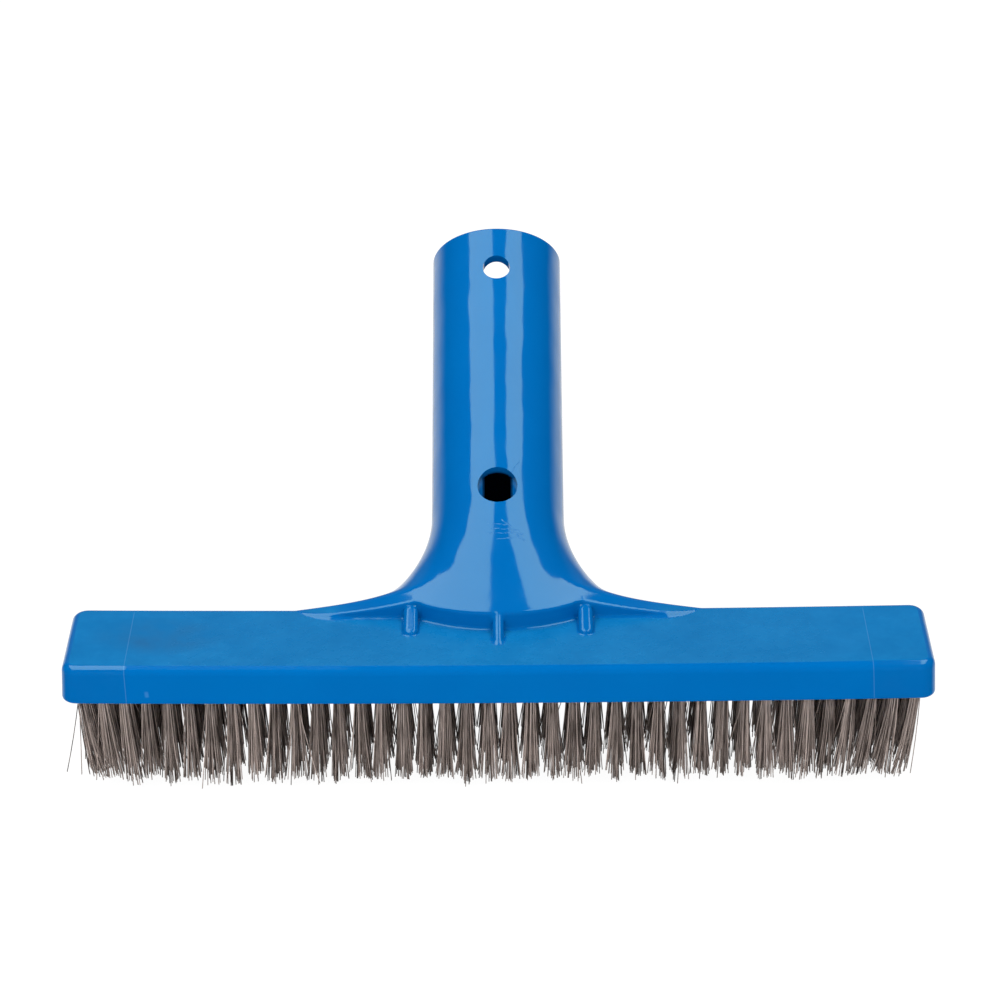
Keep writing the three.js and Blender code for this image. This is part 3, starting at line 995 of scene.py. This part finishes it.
def add_world():
    """A white studio: the camera sees white, surfaces are lit by an even glow, and shiny ones reflect
    a bright sweep behind the brush and a dim room in front of it."""
    world = bpy.data.worlds.new("studio")
    bpy.context.scene.world = world
    world.use_nodes = True
    tree = world.node_tree
    tree.nodes.clear()
    direction = add_node(tree, "ShaderNodeTexCoord").outputs["Generated"]
    parts = add_node(tree, "ShaderNodeSeparateXYZ", {"Vector": direction})
    behind = map_range(tree, parts.outputs["Y"], 0.0, 0.5, 0.0, 1.0, "SMOOTHSTEP")
    low = map_range(tree, parts.outputs["Z"], 0.15, -0.2, 0.0, 1.0, "SMOOTHSTEP")
    wall = map_range(tree, parts.outputs["Y"], 0.6, 0.85, 0.0, 0.13, "SMOOTHSTEP")
    sweep = product(tree, behind, low)
    reflected = calculate(tree, "ADD", sweep, wall)
    path = add_node(tree, "ShaderNodeLightPath")
    glow = map_range(tree, path.outputs["Is Camera Ray"], 0.0, 1.0, 0.44, 1.0)
    level = add_node(tree, "ShaderNodeMix", data_type="FLOAT")
    tree.links.new(path.outputs["Is Glossy Ray"], level.inputs[0])
    tree.links.new(glow, level.inputs[2])
    tree.links.new(reflected, level.inputs[3])
    background = add_node(tree, "ShaderNodeBackground", {"Strength": level.outputs[0]})
    add_node(tree, "ShaderNodeOutputWorld", {"Surface": background.outputs["Background"]})


SOFTBOX_RADIANCE = 2.6


def add_softbox(name, inner_angle, outer_angle, radiance):
    """An overhead softbox whose reflection fills the socket between two angles around its axis."""
    height = 1.0
    toward_camera = np.array([0.0, -math.cos(CAMERA_PITCH), math.sin(CAMERA_PITCH)])
    middle = AXIS_BASE * MM + AXIS * TUBE_LENGTH * MM * 0.5
    edges = []
    for angle in (inner_angle, outer_angle):
        normal = NORMAL * math.cos(angle) + np.array([math.sin(angle), 0.0, 0.0])
        ray = 2.0 * normal.dot(toward_camera) * normal - toward_camera
        edges.append(middle[0] + ray[0] * height / ray[2])
    width = abs(edges[1] - edges[0])
    length = 1.2
    light = bpy.data.lights.new(name, "AREA")
    light.shape = "RECTANGLE"
    light.size = width
    light.size_y = length
    light.energy = radiance * math.pi * width * length
    box = bpy.data.objects.new(name, light)
    box.location = (sum(edges) / 2.0, middle[1] + MIDDLE_Y * MM, middle[2] + height)
    bpy.context.scene.collection.objects.link(box)


CAMERA_PITCH = math.radians(26.57)
CAMERA_ROLL = math.radians(-0.46)
CAMERA_YAW = math.radians(0.16)
CAMERA_LENS = 124.34
CAMERA_OFFSET = (-0.5, -48.55, 996.2)


def add_camera():
    """A long lens in front of and above the brush. The offset is where the middle of the bar's top
    front edge lies in the camera's view: right, up and ahead, in millimetres."""
    data = bpy.data.cameras.new("camera")
    data.sensor_width = 36.0
    data.lens = CAMERA_LENS
    camera = bpy.data.objects.new("camera", data)
    bpy.context.scene.collection.objects.link(camera)
    bpy.context.scene.camera = camera
    turn = (Matrix.Rotation(CAMERA_YAW, 3, "Z") @ Matrix.Rotation(math.pi / 2 - CAMERA_PITCH, 3, "X")
            @ Matrix.Rotation(CAMERA_ROLL, 3, "Z"))
    right, up, ahead = CAMERA_OFFSET
    target = Vector((0.0, FRONT + MIDDLE_Y, BAR_TOP))
    place = target - turn @ Vector((right, up, -ahead))
    camera.matrix_world = Matrix.Translation(place * MM) @ turn.to_4x4()


moulded_body()
wire_material = stainless_wire()
columns = [tuft_column(column, wire_material) for column in range(len(column_names))]
add_floor()
add_world()
add_softbox("softbox_left", math.radians(-2.6), math.radians(-23.8), SOFTBOX_RADIANCE)
add_softbox("softbox_right", math.radians(8.0), math.radians(22.0), SOFTBOX_RADIANCE)
add_front_fill()
add_wire_key(columns)
add_camera()
bpy.context.scene.view_settings.view_transform = "Standard"
